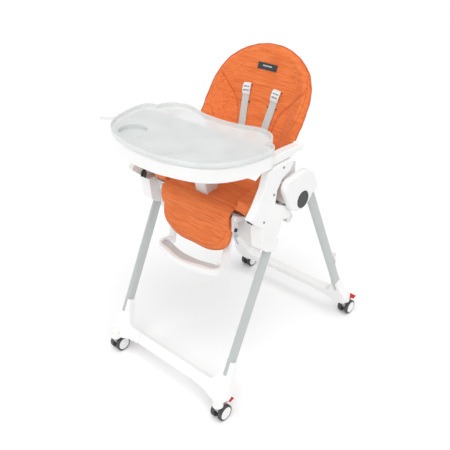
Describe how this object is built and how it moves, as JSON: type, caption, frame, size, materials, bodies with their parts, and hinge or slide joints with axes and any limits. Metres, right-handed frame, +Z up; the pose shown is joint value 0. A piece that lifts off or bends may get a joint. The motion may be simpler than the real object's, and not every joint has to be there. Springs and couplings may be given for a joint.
{
  "type": "high chair",
  "caption": "Folding high chair on casters with an A-frame of oval tubes, a height-sliding padded seat, reclining back, leg pad with footrest, and a double tray.",
  "frame": {"origin": "on the floor, midway between the four caster wheel centres", "axes": "+Z up, the chair faces -Y, +X is the left-hand side of the seated child"},
  "size_m": [0.54, 0.7886, 0.9946],
  "materials": {
    "white_plastic": "smooth white moulding",
    "pale_grey_plastic": "satin",
    "tube_paint": "satin light grey paint",
    "orange_fabric": "melange weave",
    "webbing": "woven webbing",
    "dark_webbing": "woven webbing",
    "dark_label": "woven label",
    "buckle_plastic": "smooth",
    "charcoal_plastic": "fine texture",
    "screw_steel": "machined",
    "frosted_plastic": "frosted translucent",
    "caster_grey": "satin",
    "caster_tyre": "soft dark tread",
    "red_plastic": "smooth"
  },
  "bodies": {
    "front_frame": {"front_leg_tube_left": "tube_paint", "front_leg_tube_right": "tube_paint", "front_foot_left": "white_plastic", "front_foot_right": "white_plastic", "front_crossbar": "white_plastic", "leg_top_left": "white_plastic", "leg_top_right": "white_plastic"},
    "rear_frame": {"rear_leg_tube_left": "tube_paint", "rear_leg_tube_right": "tube_paint", "rear_foot_left": "white_plastic", "rear_foot_right": "white_plastic", "rear_crossbar": "white_plastic", "hinge_cover_left": "white_plastic", "hinge_cover_right": "white_plastic", "tray_hooks": "pale_grey_plastic"},
    "fold_button_left": {"fold_button_left": "charcoal_plastic"},
    "fold_button_right": {"fold_button_right": "charcoal_plastic"},
    "seat_carriage": {"slider_housing_left": "white_plastic", "slider_housing_right": "white_plastic", "armrest_left": "white_plastic", "armrest_right": "white_plastic", "seat_cross_member": "white_plastic", "seat_shell": "white_plastic", "seat_cushion": "orange_fabric", "housing_screws": "screw_steel", "strap_tabs": "dark_webbing"},
    "height_lever_left": {"height_lever_left": "pale_grey_plastic"},
    "height_lever_right": {"height_lever_right": "pale_grey_plastic"},
    "backrest": {"backrest_shell": "white_plastic", "backrest_cushion": "orange_fabric", "shoulder_straps": "webbing", "strap_adjusters": "buckle_plastic", "back_label": "dark_label"},
    "recline_handle": {"recline_handle": "pale_grey_plastic"},
    "legrest": {"legrest_shell": "white_plastic", "legrest_cushion": "orange_fabric"},
    "legrest_button_left": {"legrest_button_left": "charcoal_plastic"},
    "legrest_button_right": {"legrest_button_right": "charcoal_plastic"},
    "footrest": {"footrest_frame": "white_plastic", "footrest_tread": "pale_grey_plastic"},
    "tray": {"tray_base": "white_plastic", "crotch_post": "pale_grey_plastic"},
    "over_tray": {"over_tray": "frosted_plastic"},
    "caster_front_left": {"caster_housing_front_left": "caster_grey"},
    "wheels_front_left": {"caster_wheels_front_left": "caster_tyre"},
    "pedal_front_left": {"brake_pedal_front_left": "red_plastic"},
    "caster_front_right": {"caster_housing_front_right": "caster_grey"},
    "wheels_front_right": {"caster_wheels_front_right": "caster_tyre"},
    "pedal_front_right": {"brake_pedal_front_right": "red_plastic"},
    "caster_rear_left": {"caster_housing_rear_left": "caster_grey"},
    "wheels_rear_left": {"caster_wheels_rear_left": "caster_tyre"},
    "pedal_rear_left": {"brake_pedal_rear_left": "red_plastic"},
    "caster_rear_right": {"caster_housing_rear_right": "caster_grey"},
    "wheels_rear_right": {"caster_wheels_rear_right": "caster_tyre"},
    "pedal_rear_right": {"brake_pedal_rear_right": "red_plastic"}
  },
  "joints": [
    {"name": "fold_hinge", "type": "hinge", "parent": "front_frame", "child": "rear_frame", "pos_m": [0, -0.033, 0.641], "axis": [-1, 0, 0], "range_deg": [0, 46]},
    {"name": "height_slide", "type": "slide", "parent": "front_frame", "child": "seat_carriage", "axis": [0, -0.4296, -0.903], "range_m": [0, 0.09]},
    {"name": "fold_button_left_press", "type": "slide", "parent": "rear_frame", "child": "fold_button_left", "axis": [1, 0, 0], "range_m": [0, 0.004], "stiffness_N_per_m": 800},
    {"name": "height_lever_left_squeeze", "type": "slide", "parent": "seat_carriage", "child": "height_lever_left", "axis": [0, 0.4296, 0.903], "range_m": [0, 0.003], "stiffness_N_per_m": 900},
    {"name": "legrest_button_left_press", "type": "slide", "parent": "legrest", "child": "legrest_button_left", "axis": [1, 0, 0], "range_m": [0, 0.0025], "stiffness_N_per_m": 400},
    {"name": "fold_button_right_press", "type": "slide", "parent": "rear_frame", "child": "fold_button_right", "axis": [-1, 0, 0], "range_m": [0, 0.004], "stiffness_N_per_m": 800},
    {"name": "height_lever_right_squeeze", "type": "slide", "parent": "seat_carriage", "child": "height_lever_right", "axis": [0, 0.4296, 0.903], "range_m": [0, 0.003], "stiffness_N_per_m": 900},
    {"name": "legrest_button_right_press", "type": "slide", "parent": "legrest", "child": "legrest_button_right", "axis": [-1, 0, 0], "range_m": [0, 0.0025], "stiffness_N_per_m": 400},
    {"name": "recline_hinge", "type": "hinge", "parent": "seat_carriage", "child": "backrest", "pos_m": [0, 0.02, 0.598], "axis": [-1, 0, 0], "range_deg": [0, 45]},
    {"name": "recline_handle_pull", "type": "slide", "parent": "backrest", "child": "recline_handle", "axis": [0, 0.3574, 0.934], "range_m": [0, 0.01], "stiffness_N_per_m": 600},
    {"name": "legrest_hinge", "type": "hinge", "parent": "seat_carriage", "child": "legrest", "pos_m": [0, -0.188, 0.598], "axis": [-1, 0, 0], "range_deg": [0, 60]},
    {"name": "footrest_slide", "type": "slide", "parent": "legrest", "child": "footrest", "axis": [0, -0.1908, -0.9816], "range_m": [-0.02, 0.03]},
    {"name": "tray_slide", "type": "slide", "parent": "seat_carriage", "child": "tray", "axis": [0, -1, 0], "range_m": [-0.015, 0.045]},
    {"name": "over_tray_lift", "type": "slide", "parent": "tray", "child": "over_tray", "axis": [0, 0, 1], "range_m": [0, 0.06]},
    {"name": "caster_front_left_swivel", "type": "hinge", "parent": "front_frame", "child": "caster_front_left", "pos_m": [-0.237, -0.364, 0.055], "axis": [0, 0, 1], "continuous": true},
    {"name": "wheels_front_left_roll", "type": "hinge", "parent": "caster_front_left", "child": "wheels_front_left", "pos_m": [-0.237, -0.35, 0.0265], "axis": [1, 0, 0], "continuous": true},
    {"name": "pedal_front_left_press", "type": "hinge", "parent": "caster_front_left", "child": "pedal_front_left", "pos_m": [-0.237, -0.337, 0.043], "axis": [1, 0, 0], "range_deg": [-10, 0]},
    {"name": "caster_front_right_swivel", "type": "hinge", "parent": "front_frame", "child": "caster_front_right", "pos_m": [0.237, -0.364, 0.055], "axis": [0, 0, 1], "continuous": true},
    {"name": "wheels_front_right_roll", "type": "hinge", "parent": "caster_front_right", "child": "wheels_front_right", "pos_m": [0.237, -0.35, 0.0265], "axis": [1, 0, 0], "continuous": true},
    {"name": "pedal_front_right_press", "type": "hinge", "parent": "caster_front_right", "child": "pedal_front_right", "pos_m": [0.237, -0.337, 0.043], "axis": [1, 0, 0], "range_deg": [-10, 0]},
    {"name": "caster_rear_left_swivel", "type": "hinge", "parent": "rear_frame", "child": "caster_rear_left", "pos_m": [-0.237, 0.336, 0.055], "axis": [0, 0, 1], "continuous": true},
    {"name": "wheels_rear_left_roll", "type": "hinge", "parent": "caster_rear_left", "child": "wheels_rear_left", "pos_m": [-0.237, 0.35, 0.0265], "axis": [1, 0, 0], "continuous": true},
    {"name": "pedal_rear_left_press", "type": "hinge", "parent": "caster_rear_left", "child": "pedal_rear_left", "pos_m": [-0.237, 0.363, 0.043], "axis": [1, 0, 0], "range_deg": [-10, 0]},
    {"name": "caster_rear_right_swivel", "type": "hinge", "parent": "rear_frame", "child": "caster_rear_right", "pos_m": [0.237, 0.336, 0.055], "axis": [0, 0, 1], "continuous": true},
    {"name": "wheels_rear_right_roll", "type": "hinge", "parent": "caster_rear_right", "child": "wheels_rear_right", "pos_m": [0.237, 0.35, 0.0265], "axis": [1, 0, 0], "continuous": true},
    {"name": "pedal_rear_right_press", "type": "hinge", "parent": "caster_rear_right", "child": "pedal_rear_right", "pos_m": [0.237, 0.363, 0.043], "axis": [1, 0, 0], "range_deg": [-10, 0]}
  ]
}
